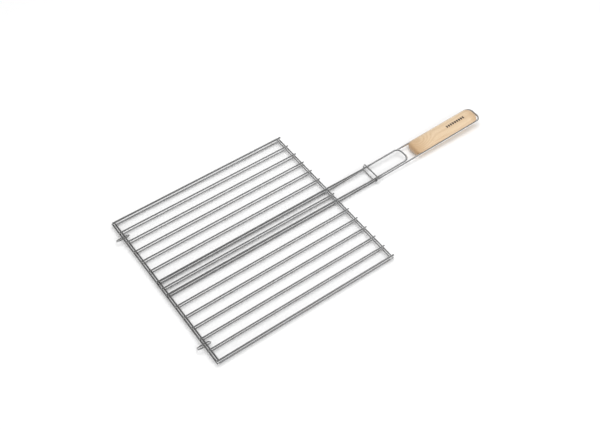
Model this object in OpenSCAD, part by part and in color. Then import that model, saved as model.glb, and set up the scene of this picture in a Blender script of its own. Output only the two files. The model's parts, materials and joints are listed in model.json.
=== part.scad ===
// Hinged wire grill basket with a wooden grip.
// Two welded wire grilles close over the food like the covers of a book. Two slanted rings tie
// them together at the hinge end, and a ring that slides along the handle wires locks them shut.
// +X runs from the hinge to the grip, +Y to the left of it, +Z up. The origin is the middle of
// the whole basket's length and width, on the surface that it lies on. Millimetres.

/* [Grille] */
// Distance between the hinge bar and the front bar of one grille
grille_length = 350; // [280:5:420]
// Distance from the middle of the basket to its outermost rods
grille_half_width = 168; // [150:1:190]
// Distance between neighbouring side rods
rod_pitch = 25; // [22:0.5:28]
// Side rods on each side of the handle wires
side_rods = 6; // [4:1:6]
// Diameter of the grille rods
rod_d = 3; // [2.5:0.1:3.5]
// Diameter of the outermost rods and the handle wires
frame_d = 4; // [3.5:0.1:4.5]
// Diameter of the cross bars
bar_d = 3; // [2.8:0.1:3.5]
// Distance between the two bars that lie side by side at each end
bar_pitch = 4.7; // [4.5:0.1:6]
// How far the front ends of the rods stand past the middle of the lid's front bar
rod_overrun = 7.25; // [6.5:0.25:12]

/* [Handle] */
// Distance from the middle to the handle wires inside the grille
wire_half_gap = 15.7; // [14:0.1:18]
// Distance from the middle to the handle wires at the grip
grip_half_gap = 17; // [15:0.1:18]
// Angle at which the handle rises from the grille
handle_rise = 2.3; // [1.5:0.1:3]
// Distance from the start of the rise to the end of the lid's loop
lid_loop_reach = 160; // [140:1:165]
// Distance from the start of the rise to the end of the base's loop
base_loop_reach = 338; // [320:1:380]
// Radius of the bends at the ends of both loops
loop_bend_r = 11; // [9:0.5:13]

/* [Grip] */
// Length of the wooden grip
grip_length = 153; // [130:1:160]
// Width of the grip
grip_width = 35; // [32:0.5:38]
// Thickness of the grip
grip_thickness = 18; // [16:0.5:18.5]
// Gap between the grip's end and the wire that goes round it
grip_end_gap = 2.5; // [1:0.1:3]

/* [Rings] */
// Diameter of the lock ring's wire
lock_ring_d = 3; // [2.5:0.1:3.5]
// Distance of the lock ring from the start of the rise, when it is locked
lock_ring_place = 82; // [80:1:100]
// Angle by which the lock ring leans towards the grip
lock_ring_lean = 16; // [8:1:20]
// Diameter of the hinge rings' wire
hinge_ring_d = 2.4; // [2:0.1:2.6]
// Length of a hinge ring, measured along the middle of its wire
hinge_ring_length = 24.6; // [22:0.1:26]
// Distance that a hinge ring slants sideways between its lower and upper strand
hinge_ring_slant = 9; // [7:0.5:12]
// Distance from the middle to the left hinge ring
left_ring_y = 132; // [128:0.5:133]
// Distance from the middle to the right hinge ring
right_ring_y = 129.5; // [128:0.5:133]

/* [Hidden] */
$fn = 48;
running_gap = 0.3;                       // space between parts that move past each other
lid_float = 1.1;                         // how much higher the lid's bars lie than the base's
base_rod_overrun = 1.75;                 // how far the base's rods stand past their hinge bar's middle
lid_rod_overrun = 0.5;                   // and how far the lid's do
end_chamfer = 0.5;                       // bevel on the cut ends of rods and bars
bar_overhang = 2.5;                      // how far the bars stand past the outermost rods
rods_per_grille = 2 * side_rods + 1;     // the middle rod lies between the handle wires
steel = "silver";
wood = "burlywood";

// Heights of the wires' middles. The base's wires hang below its bars and the lid's lie on top.
base_bar_z = frame_d + bar_d / 2;
lid_bar_z = base_bar_z + lid_float;

// Places along X, counted from the line midway between the two hinge bars
base_hinge_x = bar_pitch / 2;
lid_hinge_x = -bar_pitch / 2;
base_front_x = base_hinge_x + grille_length;
lid_front_x = lid_hinge_x + grille_length;
rod_front_x = lid_front_x + rod_overrun;
base_rod_start_x = base_hinge_x - base_rod_overrun;
lid_rod_start_x = lid_hinge_x - lid_rod_overrun;

// The handle rises from here, where the handle wires leave the grille
rise_x = rod_front_x + 2;
rise_z = frame_d / 2;
settle_length = 70;                      // both pairs of handle wires run parallel from here
knuckle_swell = 0.12;                    // the handle wires are this much thicker where they turn,
knuckle_length = 1.2;                    // over this length
groove_clearance = 0.1;                  // the grip's groove is this much wider than the wire
lid_wire_lift = frame_d + running_gap;   // height of the lid's loop over the base's
grip_start = base_loop_reach - frame_d / 2 - grip_end_gap - grip_length;

// A hinge ring's lower strand is welded under the base's hinge bar, and its upper strand clears
// the lid's hinge bar by as much as the lower one does.
hinge_strand_drop = (bar_d + hinge_ring_d) / 2 + lid_float;
hinge_ring_width = norm([hinge_ring_slant, 2 * hinge_strand_drop]);
hinge_ring_tilt = atan2(2 * hinge_strand_drop, hinge_ring_slant);
hinge_ring_x = -2.7;

// The lock ring's opening holds both pairs of handle wires
lock_ring_corner_r = 3.5;
lock_ring_half_width = grip_half_gap + frame_d / 2 + 0.5 + lock_ring_d / 2;
lock_ring_height = (frame_d + lid_wire_lift + lock_ring_d + 2 * running_gap) / cos(lock_ring_lean);

// Half of the basket's length lies on each side of the origin
back_x = hinge_ring_x - (hinge_ring_length + hinge_ring_d) / 2;
tip_x = rise_x + base_loop_reach * cos(handle_rise) + frame_d / 2;
origin_x = (back_x + tip_x) / 2;

function two_digits(i) = str(i < 10 ? "0" : "", i);
function rod_name(grille, i) = str(grille, "_rod_", two_digits(i));
rod_numbers = [1 : rods_per_grille];

// Rod 1 is the leftmost and the middle rod has no neighbours within one pitch
function steps_from_middle(i) = side_rods + 1 - i;
function rod_y(i) = let (n = steps_from_middle(i))
    n == 0 ? 0 : sign(n) * (grille_half_width - (side_rods - abs(n)) * rod_pitch);
function is_outermost(i) = abs(steps_from_middle(i)) == side_rods;
function rod_diameter(i) = is_outermost(i) ? frame_d : rod_d;

// Draws its children along, across and above the rising handle, from where the rise starts
module on_handle() translate([rise_x, 0, rise_z]) rotate([0, -handle_rise, 0]) children();

module wire_along_x(start_x, end_x, y, d)
    translate([start_x, y, 0]) rotate([0, 90, 0]) cylinder(h = end_x - start_x, d = d);

module wire_along_y(x, start_y, end_y, d)
    translate([x, start_y, 0]) rotate([-90, 0, 0]) cylinder(h = end_y - start_y, d = d);

// Quarter bend in the XY plane round the origin, from the +X axis turned by `quarter` right angles
module quarter_bend(quarter, bend_r, d)
    rotate([0, 0, 90 * quarter]) rotate_extrude(angle = 90) translate([bend_r, 0]) circle(d = d);

// Straight wire between two points, nearly along X, with a short collar at each end that joins it
// to the next
module slanted_wire(from, to, d) {
    run = to - from;
    translate(from) rotate([0, acos(run.z / norm(run)), atan2(run.y, run.x)])
        cylinder(h = norm(run), d = d);
    for (knuckle = [from, to])
        translate(knuckle) wire_along_x(-knuckle_length / 2, knuckle_length / 2, 0, d + knuckle_swell);
}

// Closed ring in the XY plane: length along X, width along Y, both to the middle of the wire
module wire_ring(length, width, corner_r, d) {
    straight_x = length / 2 - corner_r;
    straight_y = width / 2 - corner_r;
    for (side = [-1, 1]) {
        wire_along_x(-straight_x, straight_x, side * width / 2, d);
        if (straight_y > 0) wire_along_y(side * length / 2, -straight_y, straight_y, d);
    }
    for (quarter = [0 : 3])
        translate([(quarter == 0 || quarter == 3 ? 1 : -1) * straight_x,
                   (quarter < 2 ? 1 : -1) * straight_y, 0])
            quarter_bend(quarter, corner_r, d);
}

// U of wire in the XY plane, its legs along X and its closed end at end_x
module wire_loop(start_x, end_x, half_gap, d) {
    bend_x = end_x - loop_bend_r;
    bend_y = half_gap - loop_bend_r;
    for (side = [-1, 1]) {
        wire_along_x(start_x, bend_x, side * half_gap, d);
        translate([bend_x, side * bend_y, 0]) quarter_bend(side > 0 ? 0 : 3, loop_bend_r, d);
    }
    wire_along_y(end_x, -bend_y, bend_y, d);
}

// Straight rod from one point for a length along +Z, with bevelled ends
module bevelled_rod(length, d)
    rotate_extrude() polygon([
        [0, 0], [d / 2 - end_chamfer, 0], [d / 2, end_chamfer],
        [d / 2, length - end_chamfer], [d / 2 - end_chamfer, length], [0, length]
    ]);

module cross_bar(x, z) color(steel)
    translate([x, -grille_half_width - bar_overhang, z]) rotate([-90, 0, 0])
        bevelled_rod(2 * (grille_half_width + bar_overhang), bar_d);

module grille_rod(i, start_x, z) color(steel)
    translate([start_x, rod_y(i), z]) rotate([0, 90, 0])
        bevelled_rod(rod_front_x - start_x, rod_diameter(i));

// Handle wire that runs from a grille's hinge bar, through the grille, up the rise, round its
// loop and back again
module handle_wire(start_x, flat_z, half_gap, above, reach) {
    lift = flat_z - rise_z;
    translate([0, 0, flat_z]) for (side = [-1, 1])
        wire_along_x(start_x, rise_x, side * wire_half_gap, frame_d);
    on_handle() {
        for (side = [-1, 1])
            slanted_wire(
                [lift * sin(handle_rise), side * wire_half_gap, lift * cos(handle_rise)],
                [settle_length, side * half_gap, above],
                frame_d
            );
        translate([0, 0, above]) wire_loop(settle_length, reach, half_gap, frame_d);
    }
}

module base_hinge_bar() cross_bar(base_hinge_x, base_bar_z);
module base_front_bar() cross_bar(base_front_x, base_bar_z);
module lid_hinge_bar() cross_bar(lid_hinge_x, lid_bar_z);
module lid_front_bar() cross_bar(lid_front_x, lid_bar_z);

// Distance between the middles of a bar and of a wire that is welded across it
function welded_pitch(wire_d) = (bar_d + wire_d) / 2;

module base_rod(i)
    grille_rod(i, base_rod_start_x, base_bar_z - welded_pitch(rod_diameter(i)));
module lid_rod(i)
    grille_rod(i, lid_rod_start_x, lid_bar_z + welded_pitch(rod_diameter(i)));

module base_handle_wire() color(steel)
    handle_wire(base_rod_start_x, base_bar_z - welded_pitch(frame_d), grip_half_gap, 0,
                base_loop_reach);
module lid_handle_wire() color(steel)
    handle_wire(lid_rod_start_x, lid_bar_z + welded_pitch(frame_d), wire_half_gap, lid_wire_lift,
                lid_loop_reach);

// Oval ring round both hinge bars, its plane slanting sideways
module hinge_ring(y) color(steel)
    translate([hinge_ring_x, y, lid_bar_z]) rotate([-hinge_ring_tilt, 0, 0])
        wire_ring(hinge_ring_length, hinge_ring_width, hinge_ring_width / 2, hinge_ring_d);
module left_hinge_ring() hinge_ring(left_ring_y);
module right_hinge_ring() hinge_ring(-right_ring_y);

// Ring that slides along the handle wires, leaning towards the grip
module lock_ring() color(steel)
    on_handle() translate([lock_ring_place, 0, lid_wire_lift / 2])
        rotate([0, 90 + lock_ring_lean, 0])
            wire_ring(lock_ring_height, 2 * lock_ring_half_width, lock_ring_corner_r, lock_ring_d);

module rounded_rectangle(size_x, size_y, r) {
    square([size_x - 2 * r, size_y], center = true);
    square([size_x, size_y - 2 * r], center = true);
    for (x = [-1, 1], y = [-1, 1])
        translate([x * (size_x / 2 - r), y * (size_y / 2 - r)]) circle(r = r);
}

// Wooden grip, round on every edge, with a groove for the base's handle wire
module grip() color(wood) on_handle() difference() {
    section_r = 7;
    plan_r = 12;
    side_r = 5;
    translate([grip_start + grip_length / 2, 0, 0])
        intersection() {
            linear_extrude(grip_thickness, center = true)
                rounded_rectangle(grip_length, grip_width, plan_r);
            rotate([90, 0, 0]) linear_extrude(grip_width, center = true)
                rounded_rectangle(grip_length, grip_thickness, side_r);
            rotate([90, 0, 90]) linear_extrude(grip_length, center = true)
                rounded_rectangle(grip_width, grip_thickness, section_r);
        }
    wire_loop(grip_start - 1, base_loop_reach, grip_half_gap, frame_d + groove_clearance);
}

translate([-origin_x, 0, 0]) {
    base_hinge_bar();
    base_front_bar();
    base_handle_wire();
    left_hinge_ring();
    right_hinge_ring();
    grip();
    lid_hinge_bar();
    lid_front_bar();
    lid_handle_wire();
    lock_ring();
    for (i = rod_numbers) {
        base_rod(i);
        lid_rod(i);
    }
}
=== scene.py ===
"""Looks of a hinged wire grill basket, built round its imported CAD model. Lengths are in metres.

The wires are the CAD model's own, with chrome on them. Added here are the weld metal at every
crossing, the lock ring's seam and the finely shaped wooden grip, then the white table, the soft
lights and the camera.
"""

import json
import math
import random

import bpy
from mathutils import Matrix, Vector


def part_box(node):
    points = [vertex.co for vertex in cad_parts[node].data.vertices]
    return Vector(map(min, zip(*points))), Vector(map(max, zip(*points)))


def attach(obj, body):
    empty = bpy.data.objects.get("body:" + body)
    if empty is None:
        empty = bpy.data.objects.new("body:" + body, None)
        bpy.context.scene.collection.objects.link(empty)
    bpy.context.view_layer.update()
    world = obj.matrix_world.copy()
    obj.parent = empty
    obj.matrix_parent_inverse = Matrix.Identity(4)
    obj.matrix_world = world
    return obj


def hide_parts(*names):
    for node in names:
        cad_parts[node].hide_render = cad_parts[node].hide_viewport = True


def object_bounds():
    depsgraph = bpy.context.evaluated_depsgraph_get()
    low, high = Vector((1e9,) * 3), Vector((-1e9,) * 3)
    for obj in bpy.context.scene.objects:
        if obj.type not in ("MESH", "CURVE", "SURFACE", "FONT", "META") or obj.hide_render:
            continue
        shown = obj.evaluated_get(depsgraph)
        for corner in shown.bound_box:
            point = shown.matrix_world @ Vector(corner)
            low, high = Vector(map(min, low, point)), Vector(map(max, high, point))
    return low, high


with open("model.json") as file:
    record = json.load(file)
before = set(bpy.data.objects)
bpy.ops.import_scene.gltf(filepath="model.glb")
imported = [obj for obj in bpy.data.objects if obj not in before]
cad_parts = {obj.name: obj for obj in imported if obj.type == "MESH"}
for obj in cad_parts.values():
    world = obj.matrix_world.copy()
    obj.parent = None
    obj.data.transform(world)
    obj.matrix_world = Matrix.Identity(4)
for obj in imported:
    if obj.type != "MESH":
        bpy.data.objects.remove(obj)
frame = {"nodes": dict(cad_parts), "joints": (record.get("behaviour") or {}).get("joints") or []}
cad_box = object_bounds()
MM = 0.001


# ---- what the frame says -------------------------------------------------------------------

def box_centre(node):
    low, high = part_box(node)
    return (low + high) / 2


def box_size(node):
    low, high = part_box(node)
    return high - low


def nodes_starting(prefix):
    return sorted(name for name in frame["nodes"] if name.startswith(prefix))


def nodes_ending(suffix):
    return sorted(name for name in frame["nodes"] if name.endswith(suffix))


slide_axis = next(j["axis"] for j in frame["joints"] if j["name"] == "lock_ring_slide")
HANDLE_DIRECTION = Vector(slide_axis).normalized()
HANDLE_RISE = math.atan2(HANDLE_DIRECTION.z, HANDLE_DIRECTION.x)
HANDLE_WIRE_R = box_size("base_rod_01").z / 2      # as thick as the outermost rods


# ---- shader helpers ------------------------------------------------------------------------

def fill(tree, node, inputs):
    """Sets a node's inputs to values, or links them where an output is given."""
    for name, value in inputs.items():
        if isinstance(value, bpy.types.NodeSocket):
            tree.links.new(value, node.inputs[name])
        else:
            node.inputs[name].default_value = value
    return node


def add_node(tree, kind, inputs, **settings):
    """A new shader node with its settings made and its inputs filled."""
    made = tree.nodes.new("ShaderNode" + kind)
    for name, value in settings.items():
        setattr(made, name, value)
    return fill(tree, made, inputs)


def new_material(name):
    """A Principled material: (material, its node tree, its shader, object coordinates)."""
    material = bpy.data.materials.new(name)
    material.use_nodes = True
    tree = material.node_tree
    place = add_node(tree, "TexCoord", {}).outputs["Object"]
    return material, tree, tree.nodes["Principled BSDF"], place


def math_node(tree, operation, first, second=0.0):
    return add_node(tree, "Math", {0: first, 1: second}, operation=operation).outputs[0]


def plus(tree, first, second):
    return math_node(tree, "ADD", first, second)


def minus(tree, first, second):
    return math_node(tree, "SUBTRACT", first, second)


def times(tree, first, second):
    return math_node(tree, "MULTIPLY", first, second)


def hypotenuse(tree, first, second):
    squares = plus(tree, times(tree, first, first), times(tree, second, second))
    return math_node(tree, "POWER", squares, 0.5)


def mapped(tree, vector, **change):
    """Coordinates changed by a Mapping node: one of Location, Rotation and Scale."""
    return add_node(tree, "Mapping", {"Vector": vector, **change}).outputs[0]


def noise(tree, vector, scale=1.0, detail=2.0, roughness=0.5):
    inputs = {"Vector": vector, "Scale": scale, "Detail": detail, "Roughness": roughness}
    return add_node(tree, "TexNoise", inputs).outputs["Fac"]


def ranged(tree, value, low, high, to_low=0.0, to_high=1.0, smooth=False):
    """value's range low to high, stretched to to_low to to_high and held there outside it."""
    inputs = {0: value, 1: low, 2: high, 3: to_low, 4: to_high}
    kind = "SMOOTHSTEP" if smooth else "LINEAR"
    return add_node(tree, "MapRange", inputs, interpolation_type=kind).outputs[0]


def mix_colours(tree, share, first, second):
    return add_node(tree, "Mix", {0: share, 6: first, 7: second}, data_type="RGBA").outputs[2]


def bump(tree, height, strength, distance):
    inputs = {"Height": height, "Strength": strength, "Distance": distance}
    return add_node(tree, "Bump", inputs).outputs["Normal"]


def grey(level, warmth=0.0):
    return (level * (1 + warmth), level, level * (1 - warmth), 1)


# ---- metals --------------------------------------------------------------------------------

# Texture scales count features per metre.
ALONG_WIRE = 45      # drawing lines, along a straight wire
ACROSS_WIRE = 2600   # and across it
BENT_WIRE = 500      # the same lines on a ring, which has no one direction
PLATING_CLOUDS = 85
PINHOLES = 1400
WELD_RIPPLES = 1500
WELD_STAINS = 420

PAINTED_LIGHT_FADE = 15 * MM  # painted light on a handle wire fades in over this length, beyond the lock ring


def chrome(name, line_scale, level, painted_light_level=None, roughness=(0.07, 0.17)):
    """Bright plated steel: drawing lines along the wire, cloudy plating and a few pinholes.

    level is how bright it is. Where the brighter level is given, the wire is painted that bright
    beyond
    the lock ring, near the grip: painted light.
    """
    material, tree, shader, place = new_material(name)
    lines = noise(tree, mapped(tree, place, Scale=line_scale), detail=3, roughness=0.6)
    clouds = noise(tree, place, PLATING_CLOUDS, detail=3)
    cells = add_node(tree, "TexVoronoi", {"Vector": place, "Scale": PINHOLES})
    off_pinhole = ranged(tree, cells.outputs["Distance"], 0.05, 0.16)

    tone = mix_colours(tree, ranged(tree, clouds, 0.32, 0.7),
                       grey(level * 0.93, 0.012), grey(level, -0.012))
    # Painted light: beyond the lock ring the wire's colour is raised to the brighter level.
    if painted_light_level is not None:
        along = add_node(tree, "SeparateXYZ", {0: place}).outputs[0]
        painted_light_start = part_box("lock_ring")[1].x
        painted_light_share = ranged(tree, along, painted_light_start, painted_light_start + PAINTED_LIGHT_FADE, smooth=True)
        tone = mix_colours(tree, painted_light_share, tone, grey(painted_light_level))
    tone = mix_colours(tree, off_pinhole, grey(level * 0.45, 0.05), tone)

    worn = plus(tree, times(tree, lines, 0.45), times(tree, clouds, 0.55))
    height = plus(tree, times(tree, lines, 0.5), times(tree, off_pinhole, 0.5))
    fill(tree, shader, {
        "Metallic": 1.0,
        "Base Color": tone,
        "Roughness": ranged(tree, worn, 0.34, 0.66, *roughness),
        "Normal": bump(tree, height, 0.22, 0.02 * MM),
    })
    return material


def weld_metal():
    """Plated weld beads: a little duller and rougher than the wire, with faint ripples."""
    material, tree, shader, place = new_material("plated_weld")
    ripples = noise(tree, place, WELD_RIPPLES, detail=4, roughness=0.65)
    stains = noise(tree, place, WELD_STAINS)
    fill(tree, shader, {
        "Metallic": 1.0,
        "Base Color": mix_colours(tree, ranged(tree, stains, 0.3, 0.7),
                                  grey(0.6, 0.03), grey(0.8, 0.01)),
        "Roughness": ranged(tree, ripples, 0.3, 0.7, 0.22, 0.4),
        "Normal": bump(tree, ripples, 0.5, 0.08 * MM),
    })
    return material


def dress_wires():
    """Gives every CAD wire its chrome: the drawing lines run along each straight wire."""
    along_x = (ALONG_WIRE, ACROSS_WIRE, ACROSS_WIRE)
    along_y = (ACROSS_WIRE, ALONG_WIRE, ACROSS_WIRE)
    bent = (BENT_WIRE, BENT_WIRE, BENT_WIRE)
    finishes = (
        # The hinge bars' chrome is painted darker and the front bars' chrome lighter than the
        # rods': painted shade and painted light, for the way the light falls off across the
        # basket.
        ("_hinge_bar", chrome("chrome_hinge_bar_painted_shade", along_y, 0.38)),
        ("_front_bar", chrome("chrome_front_bar_painted_light", along_y, 0.78)),
        # The handle wires are painted brighter beyond the lock ring, near the grip: painted
        # light.
        ("base_handle_wire", chrome("chrome_long_handle_wire_painted_light", along_x, 0.62, 0.96)),
        ("lid_handle_wire", chrome("chrome_short_handle_wire_painted_light", along_x, 0.6, 0.9)),
        ("_ring", chrome("chrome_ring", bent, 0.74, roughness=(0.08, 0.2))),
        ("_rod_", chrome("chrome_rod", along_x, 0.74)),
    )
    for name, node in frame["nodes"].items():
        for part, finish in finishes:
            if part in name:
                node.data.materials.clear()
                node.data.materials.append(finish)
                break


# ---- meshes --------------------------------------------------------------------------------

def new_piece(name, vertices, faces, material, body):
    """A smooth-shaded mesh piece that rides on a CAD body."""
    mesh = bpy.data.meshes.new(name)
    mesh.from_pydata([tuple(v) for v in vertices], [], faces)
    mesh.validate()
    mesh.polygons.foreach_set("use_smooth", [True] * len(mesh.polygons))
    mesh.materials.append(material)
    piece = bpy.data.objects.new(name, mesh)
    bpy.context.scene.collection.objects.link(piece)
    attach(piece, body)
    return piece


def closed_tube_faces(rings, sides, first=0):
    """Faces of a stack of rings with the same number of points, and a cap on each end."""
    faces = []
    for ring in range(rings - 1):
        low, high = first + ring * sides, first + (ring + 1) * sides
        for side in range(sides):
            following = (side + 1) % sides
            faces.append((low + side, low + following, high + following, high + side))
    faces.append(tuple(first + side for side in reversed(range(sides))))
    faces.append(tuple(first + (rings - 1) * sides + side for side in range(sides)))
    return faces


# ---- weld metal ----------------------------------------------------------------------------

WELD_GAP = 0.62 * MM       # the weld metal reaches out to where the wires are this far apart
WELD_SINK = 0.12 * MM      # and it goes this far into both wires
WELD_WAIST = 0.26 * MM     # its face is hollow by this much
WELD_END_MARGIN = 0.05 * MM    # and it stops this far from the rods' cut ends
WELD_WIDEST = 0.92         # of a wire's radius: it never reaches past the wire's side
WELD_SIDES = 28
WELD_LAYERS = 7


def weld_bead(x, y, contact_z, bar_radius, rod_radius, bar_is_above, rod_start_x, dice):
    """Points of the weld metal in the pinch between a bar along Y and a rod along X."""
    bar_side = 1 if bar_is_above else -1
    phase = dice.uniform(0, math.tau)
    size = dice.uniform(0.9, 1.12)
    layers = []
    for layer in range(WELD_LAYERS):
        t = layer / (WELD_LAYERS - 1)
        points = []
        for side in range(WELD_SIDES):
            turn = math.tau * side / WELD_SIDES
            cos_turn, sin_turn = math.cos(turn), math.sin(turn)
            opening = cos_turn ** 2 / (2 * bar_radius) + sin_turn ** 2 / (2 * rod_radius)
            reach = size * math.sqrt(WELD_GAP / opening)
            reach *= 1 + 0.05 * math.sin(2 * turn + phase) + 0.04 * math.sin(5 * turn - phase)
            if cos_turn < -0.05:
                reach = min(reach, (x - rod_start_x - WELD_END_MARGIN) / -cos_turn)
            reach = min(reach, WELD_WIDEST * bar_radius / max(abs(cos_turn), 0.6),
                        WELD_WIDEST * rod_radius / max(abs(sin_turn), 0.6))
            along, across = reach * cos_turn, reach * sin_turn
            to_bar = bar_radius - math.sqrt(bar_radius ** 2 - along ** 2) + WELD_SINK
            to_rod = rod_radius - math.sqrt(rod_radius ** 2 - across ** 2) + WELD_SINK
            waist = reach - WELD_WAIST * (1 - (2 * t - 1) ** 2)
            height = bar_side * (t * to_bar - (1 - t) * to_rod)
            points.append((x + waist * cos_turn, y + waist * sin_turn, contact_z + height))
        layers.append(points)
    if not bar_is_above:
        layers.reverse()       # so that the faces still look outwards
    return [point for points in layers for point in points]


def ring_contact(ring, bar):
    """Where a hinge ring's lower strand is welded under the bar, and the strand's radius."""
    strand_radius = (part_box(bar)[0].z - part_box(ring)[0].z) / 2
    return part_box(ring)[1].y - strand_radius, strand_radius


def add_welds(material):
    """One piece of weld metal for each bar, with a bead at every rod and handle wire on it."""
    lid_wire_half_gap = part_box("lid_handle_wire")[1].y - HANDLE_WIRE_R
    bars = ("base_hinge_bar", "base_front_bar", "lid_hinge_bar", "lid_front_bar")
    for seed, bar in enumerate(bars):
        dice = random.Random(seed)
        grille = bar.split("_")[0]
        bar_centre, bar_radius = box_centre(bar), box_size(bar).z / 2
        bar_is_above = grille == "base"
        contact_z = bar_centre.z + (-bar_radius if bar_is_above else bar_radius)
        rods = nodes_starting(grille + "_rod_")
        crossings = [(box_centre(rod).y, box_size(rod).y / 2) for rod in rods]
        crossings += [(side * lid_wire_half_gap, HANDLE_WIRE_R) for side in (-1, 1)]
        if bar == "base_hinge_bar":
            crossings += [ring_contact(ring, bar) for ring in nodes_ending("_hinge_ring")]
        rod_start_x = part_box(rods[0])[0].x
        vertices, faces = [], []
        for y, rod_radius in crossings:
            faces += closed_tube_faces(WELD_LAYERS, WELD_SIDES, len(vertices))
            vertices += weld_bead(bar_centre.x, y, contact_z, bar_radius, rod_radius,
                                  bar_is_above, rod_start_x, dice)
        name = bar.replace("_bar", "_welds")
        new_piece(name, vertices, faces, material, grille)


SEAM_SWELL = 0.32 * MM     # how much the butt weld's radius grows towards its middle
SEAM_SINK = 0.05 * MM      # its ends are this far inside the wire
SEAM_HALF_LENGTH = 1.6 * MM
SEAM_RINGS = 11


def add_lock_ring_seam(material):
    """Swollen seam where the lock ring's wire meets itself, flat where it would touch down."""
    centre, half_width = box_centre("lock_ring"), box_size("lock_ring").y / 2
    # The straight part of the ring's lower strand
    strand = [v.co for v in frame["nodes"]["lock_ring"].data.vertices
              if v.co.z < centre.z and abs(v.co.y) < 0.8 * half_width]
    low_x, high_x = min(co.x for co in strand), max(co.x for co in strand)
    low_z, high_z = min(co.z for co in strand), max(co.z for co in strand)
    strand_radius = (high_z - low_z) / 2
    middle = Vector(((low_x + high_x) / 2, 0, (low_z + high_z) / 2))
    vertices = []
    for ring in range(SEAM_RINGS):
        t = 2 * ring / (SEAM_RINGS - 1) - 1
        radius = strand_radius - SEAM_SINK + SEAM_SWELL * (1 - t * t)
        for side in range(WELD_SIDES):
            turn = math.tau * side / WELD_SIDES
            around = Vector((radius * math.sin(turn), t * SEAM_HALF_LENGTH,
                             radius * math.cos(turn)))
            point = middle + around
            point.z = max(point.z, cad_box[0].z)
            vertices.append(point)
    faces = closed_tube_faces(SEAM_RINGS, WELD_SIDES)
    new_piece("lock_ring_seam", vertices, faces, material, "lock_ring")


# ---- wooden grip ---------------------------------------------------------------------------

GRIP_SQUARENESS = 2.35     # 2 is an ellipse, and more is squarer
GRIP_PLAN_R = 12 * MM      # rounding of the grip's corners, seen from above
GRIP_SIDE_R = 7 * MM       # and seen from the side
GROOVE_EASE = 0.5 * MM     # rounding of the groove's edges
GROOVE_SLACK = 0.12 * MM   # between the groove and the wire
GROOVE_FLARE = 6           # how steeply the groove's sides open beyond the wire
LOOP_BEND_R = 11 * MM      # bend of the wire round the grip's end

# Steps round the grip, in its groove and elsewhere
FINE_TURN, COARSE_TURN = math.radians(1.3), math.radians(4.2)
GROOVE_HALF_ANGLE = math.radians(14)       # seen from the middle line, with room to spare
GRIP_STATIONS = 96
END_CROWDING = 0.93        # 0 spaces the stations evenly, and 1 crowds them most at the ends


class Grip:
    """The grip's measures. x is along it from its front end, and y and z from its middle."""

    def __init__(self):
        low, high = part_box("grip")
        wire_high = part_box("base_handle_wire")[1]
        self.half_width = (high.y - low.y) / 2
        cos_rise, sin_rise = math.cos(HANDLE_RISE), math.sin(HANDLE_RISE)
        # The tilted box of a length and a thickness has these sides: solve for the two.
        span_x, span_z = high.x - low.x, high.z - low.z
        spread = cos_rise ** 2 - sin_rise ** 2
        self.length = (span_x * cos_rise - span_z * sin_rise) / spread
        self.half_height = (span_z * cos_rise - span_x * sin_rise) / spread / 2
        self.middle = (low + high) / 2
        self.wire_y = wire_high.y - HANDLE_WIRE_R
        self.groove_r = HANDLE_WIRE_R + GROOVE_SLACK
        tip = (wire_high.x - HANDLE_WIRE_R - self.middle.x) / cos_rise
        self.bend_x = self.length / 2 + tip - LOOP_BEND_R

    def to_frame(self, x, y, z):
        along = x - self.length / 2
        turned = Matrix.Rotation(-HANDLE_RISE, 3, "Y") @ Vector((along, y, z))
        return self.middle + turned

    def half_sides(self, x):
        """Half the width and half the height, less near the grip's rounded ends."""
        from_end = min(x, self.length - x)

        def rounded(half, radius):
            if from_end >= radius:
                return half
            return half - radius + math.sqrt(max(0.0, radius ** 2 - (radius - from_end) ** 2))

        return rounded(self.half_width, GRIP_PLAN_R), rounded(self.half_height, GRIP_SIDE_R)

    def groove_y(self, x):
        """Distance of the groove's middle from the grip's middle line."""
        if x <= self.bend_x:
            return self.wire_y
        past = min(x - self.bend_x, LOOP_BEND_R)
        return self.wire_y - LOOP_BEND_R + math.sqrt(LOOP_BEND_R ** 2 - past ** 2)

    def radius(self, x, turn):
        """Distance of the wood's surface from the middle line, in the direction turn."""
        half_y, half_z = self.half_sides(x)
        c, s = abs(math.cos(turn)), abs(math.sin(turn))
        outer = ((c / half_y) ** GRIP_SQUARENESS
                 + (s / half_z) ** GRIP_SQUARENESS) ** (-1 / GRIP_SQUARENESS)
        groove_y = self.groove_y(x)
        off_line = groove_y * s
        if off_line < self.groove_r:
            wall = groove_y * c - math.sqrt(self.groove_r ** 2 - off_line ** 2)
        else:
            wall = groove_y * c + GROOVE_FLARE * (off_line - self.groove_r)
        return smooth_min(outer, wall, GROOVE_EASE)


def smooth_min(a, b, ease):
    """The smaller of two lengths, blended over ease where they are nearly equal."""
    share = max(0.0, min(1.0, 0.5 + (b - a) / (2 * ease)))
    return b + (a - b) * share - ease * share * (1 - share)


def grip_turns():
    """Directions round the grip, close together where the groove is."""
    turns, turn = [], -math.pi / 2
    while turn < math.pi / 2 - 1e-6:
        turns.append(turn)
        turn += FINE_TURN if abs(turn) < GROOVE_HALF_ANGLE else COARSE_TURN
    return turns + [t + math.pi for t in turns]


def grip_stations(length):
    """Places along the grip, close together at its rounded ends."""
    steps = [i / GRIP_STATIONS for i in range(GRIP_STATIONS + 1)]
    return [length * (t - END_CROWDING * math.sin(math.tau * t) / math.tau) for t in steps]


def add_grip(material):
    """The wooden grip, which stands for the CAD model's plain one."""
    grip = Grip()
    turns, stations = grip_turns(), grip_stations(grip.length)
    vertices = []
    for x in stations:
        for turn in turns:
            r = grip.radius(x, turn)
            vertices.append(grip.to_frame(x, r * math.cos(turn), r * math.sin(turn)))
    faces = closed_tube_faces(len(stations), len(turns))
    piece = new_piece("wooden_grip", vertices, faces, material, "base")
    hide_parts("grip")


# ---- wood ----------------------------------------------------------------------------------

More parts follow.
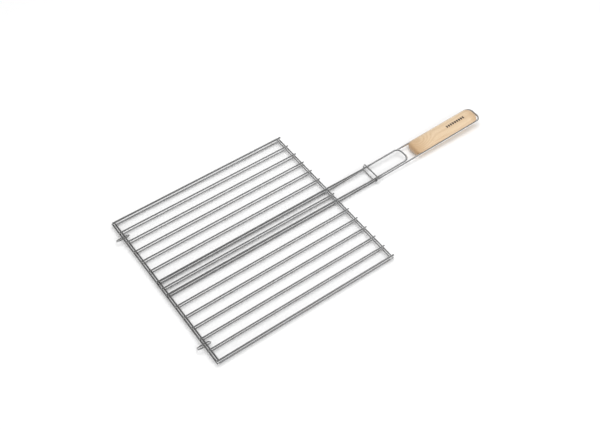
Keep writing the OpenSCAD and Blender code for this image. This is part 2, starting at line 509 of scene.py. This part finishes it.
MARK_MIDDLE = 29.5 * MM    # the burned mark's middle, from the grip's middle towards its rear
MARK_PITCH = 5.1 * MM      # of the short bars of the mark, a plain little grille
MARK_BARS = 9
MARK_HALF_BAR = 1.25 * MM  # half of a bar's thickness
MARK_HALF_WIDTH = 2.9 * MM
MARK_HALF_LINE = 0.8 * MM  # half of the thickness of the line through the bars
MARK_SOFTNESS = 0.22 * MM  # its edges fade over twice this
MARK_RAGGEDNESS = 0.9 * MM     # and the fibres shift them by up to half of this
MARK_UP = (4 * MM, 5 * MM)     # it fades in between these heights, so it is only on the top


def burned_mark(tree, along, across, up, fibres):
    """Where the mark is burned into the grip's top: short bars across, one line through them."""
    ragged = times(tree, minus(tree, fibres, 0.5), MARK_RAGGEDNESS)
    place = minus(tree, plus(tree, along, ragged), MARK_MIDDLE)
    sideways = math_node(tree, "ABSOLUTE", plus(tree, across, ragged))
    lengthways = math_node(tree, "ABSOLUTE", place)

    def burned_within(distance, half_size):
        return ranged(tree, distance, half_size - MARK_SOFTNESS, half_size + MARK_SOFTNESS,
                      1.0, 0.0, smooth=True)

    off_bar = math_node(tree, "PINGPONG", place, MARK_PITCH / 2)
    bars = times(tree, burned_within(off_bar, MARK_HALF_BAR),
                 burned_within(sideways, MARK_HALF_WIDTH))
    both = math_node(tree, "MAXIMUM", bars, burned_within(sideways, MARK_HALF_LINE))
    half_length = MARK_PITCH * (MARK_BARS - 1) / 2 + MARK_HALF_BAR
    both = times(tree, both, burned_within(lengthways, half_length))
    return times(tree, both, ranged(tree, up, *MARK_UP))


KNOT_PLACE = (-58 * MM, 3 * MM)    # along and across the grip, from its middle
KNOT_REACH = 24 * MM
KNOT_SLIMNESS = 0.6        # the swirl's width over its length
KNOT_PUSH = 17 * MM        # how far the rings are pushed at its middle


def knot_swirl(tree, along, across):
    """How far the growth rings bulge round a small knot near the grip's front end."""
    from_along = times(tree, minus(tree, along, KNOT_PLACE[0]), KNOT_SLIMNESS)
    from_across = minus(tree, across, KNOT_PLACE[1])
    distance = hypotenuse(tree, from_along, from_across)
    return ranged(tree, distance, 0.0, KNOT_REACH, KNOT_PUSH, 0.0, smooth=True)


PITH_Y, PITH_Z = -31 * MM, -46 * MM    # the growth rings' centre, from the grip's middle
RING_WANDER = 16 * MM
RINGS = 420                # light and dark bands in a metre

# Texture scales, features per metre: along the grain, and twice across it
WANDER_SCALE = (7, 28, 28)
FIBRE_SCALE = (30, 1500, 1500)
FLECK_SCALE = (170, 2600, 2600)
PATCH_SCALE = (14, 60, 60)

PALE_WOOD, RING_TAN = (0.74, 0.565, 0.375, 1), (0.61, 0.43, 0.255, 1)
FIBRE_TAN, PATCH_CREAM = (0.60, 0.41, 0.23, 1), (0.79, 0.63, 0.45, 1)
FLECK_BROWN, SINGED_BROWN = (0.36, 0.21, 0.10, 1), (0.47, 0.28, 0.13, 1)
END_GRAIN_AND_SHADE_BROWN, CHARRED = (0.40, 0.24, 0.12, 1), (0.012, 0.005, 0.003, 1)

HEAT_REACH, HEAT_SHARE = 50 * MM, 0.62         # browning of the front end, next to the fire
HANDLED_REACH, HANDLED_SHARE = 14 * MM, 0.4    # and of the rear end, from hands
BROWNING_WANDER = 12 * MM


def wood():
    """Pale varnished hardwood: growth rings, fibres, short dark flecks and darker end faces,
    partly end grain and partly painted shade.
    """
    material, tree, shader, place = new_material("varnished_wood")
    from_middle = mapped(tree, place, Location=-box_centre("grip"))
    grain = mapped(tree, from_middle, Rotation=(0, HANDLE_RISE, 0))
    along, across, up = add_node(tree, "SeparateXYZ", {0: grain}).outputs
    wander = noise(tree, mapped(tree, grain, Scale=WANDER_SCALE))
    fibres = noise(tree, mapped(tree, grain, Scale=FIBRE_SCALE), detail=4, roughness=0.65)
    flecks = ranged(tree, noise(tree, mapped(tree, grain, Scale=FLECK_SCALE), detail=1),
                    0.63, 0.72)
    patches = noise(tree, mapped(tree, grain, Scale=PATCH_SCALE), detail=3)

    from_pith = hypotenuse(tree, minus(tree, across, PITH_Y), minus(tree, up, PITH_Z))
    wavy = plus(tree, from_pith, times(tree, wander, RING_WANDER))
    wavy = plus(tree, wavy, knot_swirl(tree, along, across))
    rings = math_node(tree, "PINGPONG", times(tree, wavy, RINGS), 1.0)
    rings = ranged(tree, rings, 0.15, 0.95, smooth=True)

    tone = mix_colours(tree, times(tree, rings, 0.7), PALE_WOOD, RING_TAN)
    tone = mix_colours(tree, ranged(tree, fibres, 0.35, 0.7, 0.0, 0.45), tone, FIBRE_TAN)
    tone = mix_colours(tree, ranged(tree, patches, 0.35, 0.7, 0.0, 0.4), tone, PATCH_CREAM)
    tone = mix_colours(tree, times(tree, flecks, 0.45), tone, FLECK_BROWN)

    # Both ends are browned, and the end faces are darker still: end grain that drinks more
    # varnish, and painted shade.
    half_length = box_size("grip").x / 2
    browned_at = plus(tree, along, times(tree, wander, BROWNING_WANDER))
    heat = ranged(tree, browned_at, -half_length, HEAT_REACH - half_length,
                  HEAT_SHARE, 0.0, smooth=True)
    handled = ranged(tree, browned_at, half_length - HANDLED_REACH, half_length,
                     0.0, HANDLED_SHARE, smooth=True)
    tone = mix_colours(tree, math_node(tree, "MAXIMUM", heat, handled), tone, SINGED_BROWN)
    # Faces that point along the grip, at its ends, are painted darker: the end grain's own tone,
    # and painted shade where they face away from the light.
    normal = add_node(tree, "TexCoord", {}).outputs["Normal"]
    facing = math_node(tree, "ABSOLUTE", add_node(tree, "SeparateXYZ", {0: normal}).outputs[0])
    end_grain_and_shade = ranged(tree, facing, 0.35, 0.9, smooth=True)
    tone = mix_colours(tree, times(tree, end_grain_and_shade, 0.65), tone, END_GRAIN_AND_SHADE_BROWN)
    mark = burned_mark(tree, along, across, up, fibres)
    tone = mix_colours(tree, times(tree, mark, 0.97), tone, CHARRED)

    relief = minus(tree, times(tree, fibres, 0.6), times(tree, flecks, 0.5))
    relief = minus(tree, relief, times(tree, mark, 1.5))
    fill(tree, shader, {
        "Base Color": tone,
        "Roughness": ranged(tree, fibres, 0.3, 0.7, 0.36, 0.5),
        "Normal": bump(tree, relief, 0.3, 0.12 * MM),
        "Coat Weight": 0.25,
        "Coat Roughness": 0.22,
        "Sheen Weight": 0.45,
        "Sheen Roughness": 0.35,
    })
    return material


# ---- table, light and camera ---------------------------------------------------------------

TABLE_HALF_SIZE = 15.0     # so large that its edge is far off even in low views
TABLE_DROP = 0.2 * MM      # and lies just below the lowest wire
PAPER_FIBRES = 900         # per metre


def add_floor():
    """White paper table under the basket."""
    material, tree, shader, place = new_material("white_paper")
    fibres = noise(tree, place, PAPER_FIBRES, detail=3)
    fill(tree, shader, {
        "Base Color": mix_colours(tree, fibres, grey(0.93), grey(0.95)),
        "Roughness": 0.9,
        "Specular IOR Level": 0.1,
    })
    half = TABLE_HALF_SIZE
    mesh = bpy.data.meshes.new("table_top")
    corners = [(-half, -half, 0), (half, -half, 0), (half, half, 0), (-half, half, 0)]
    mesh.from_pydata(corners, [], [(0, 1, 2, 3)])
    mesh.materials.append(material)
    table_top = bpy.data.objects.new("table_top", mesh)
    table_top.location.z = cad_box[0].z - TABLE_DROP
    bpy.context.scene.collection.objects.link(table_top)


FILL_LEVEL = 0.78         # brightness of the room as matt surfaces see it
BACKDROP_LEVEL = 0.98
ROOM_LEVEL = 0.08         # the room that the chrome mirrors: dark, with pale reflectors in it
ROOM_REFLECTORS = (       # direction, angular radius in degrees, brightness
    ((0.55, 0.52, 0.62), 28, 0.8),
    ((-0.62, 0.10, 0.80), 34, 0.15),
    ((-0.80, 0.50, 0.15), 26, 0.35),
    ((0.22, -0.52, 0.82), 46, 0.2),
    ((-0.75, -0.60, 0.30), 26, 0.6),
)


def room_brightness(tree, direction):
    """Brightness of the chrome's surroundings: the dark room with soft-edged pale reflectors."""
    total = ROOM_LEVEL
    for towards, radius, level in ROOM_REFLECTORS:
        facing = add_node(tree, "VectorMath", {0: direction, 1: Vector(towards).normalized()},
                          operation="DOT_PRODUCT").outputs["Value"]
        edge = math.cos(math.radians(radius))
        total = plus(tree, ranged(tree, facing, edge, 1.0, 0.0, level, smooth=True), total)
    return total


def set_world():
    """A pale backdrop that also fills the shadows, and a dark studio for the chrome to mirror."""
    world = bpy.data.worlds.new("studio")
    bpy.context.scene.world = world
    world.use_nodes = True
    tree = world.node_tree
    direction = add_node(tree, "TexCoord", {}).outputs["Generated"]
    path = add_node(tree, "LightPath", {}).outputs
    room = room_brightness(tree, direction)
    seen = mix_colours(tree, path["Is Glossy Ray"], grey(FILL_LEVEL), room)
    seen = mix_colours(tree, path["Is Camera Ray"], seen, grey(BACKDROP_LEVEL))
    fill(tree, tree.nodes["Background"], {"Color": seen})


def add_softbox(name, place, target, width, depth, watts):
    """A soft light that the chrome doesn't mirror: the room's reflectors stand in for it."""
    light = bpy.data.lights.new(name, "AREA")
    light.shape = "RECTANGLE"
    light.size, light.size_y = width, depth
    light.energy = watts
    lamp = bpy.data.objects.new(name, light)
    bpy.context.scene.collection.objects.link(lamp)
    lamp.location = place
    lamp.rotation_euler = (Vector(target) - Vector(place)).to_track_quat("-Z", "Y").to_euler()
    lamp.visible_camera = False
    lamp.visible_glossy = False


def add_lights():
    add_softbox("ceiling_softbox", place=(0.05, 0.2, 1.6), target=(0, 0, 0),
                width=1.2, depth=1.0, watts=9.5)
    add_softbox("front_softbox", place=(0.1, -1.5, 1.0), target=(0.1, 0, 0),
                width=1.1, depth=0.7, watts=8)


CAMERA_PLACE = (-0.6723, -0.8184, 1.2754)
CAMERA_AZIMUTH = math.radians(36.758)     # turned from +Y towards +X
CAMERA_PITCH = math.radians(51.264)       # below the horizon
CAMERA_ROLL = math.radians(1.0815)
CAMERA_LENS, CAMERA_SENSOR = 55.29, 36    # in millimetres


def add_camera():
    camera_data = bpy.data.cameras.new("camera")
    camera_data.sensor_width = CAMERA_SENSOR
    camera_data.lens = CAMERA_LENS
    camera = bpy.data.objects.new("camera", camera_data)
    bpy.context.scene.collection.objects.link(camera)
    turn = (Matrix.Rotation(-CAMERA_AZIMUTH, 4, "Z")
            @ Matrix.Rotation(math.pi / 2 - CAMERA_PITCH, 4, "X")
            @ Matrix.Rotation(CAMERA_ROLL, 4, "Z"))
    camera.matrix_world = Matrix.Translation(CAMERA_PLACE) @ turn
    bpy.context.scene.camera = camera


bpy.context.scene.view_settings.view_transform = "Standard"
add_camera()
dress_wires()
weld = weld_metal()
add_welds(weld)
add_lock_ring_seam(weld)
add_grip(wood())
add_floor()
set_world()
add_lights()
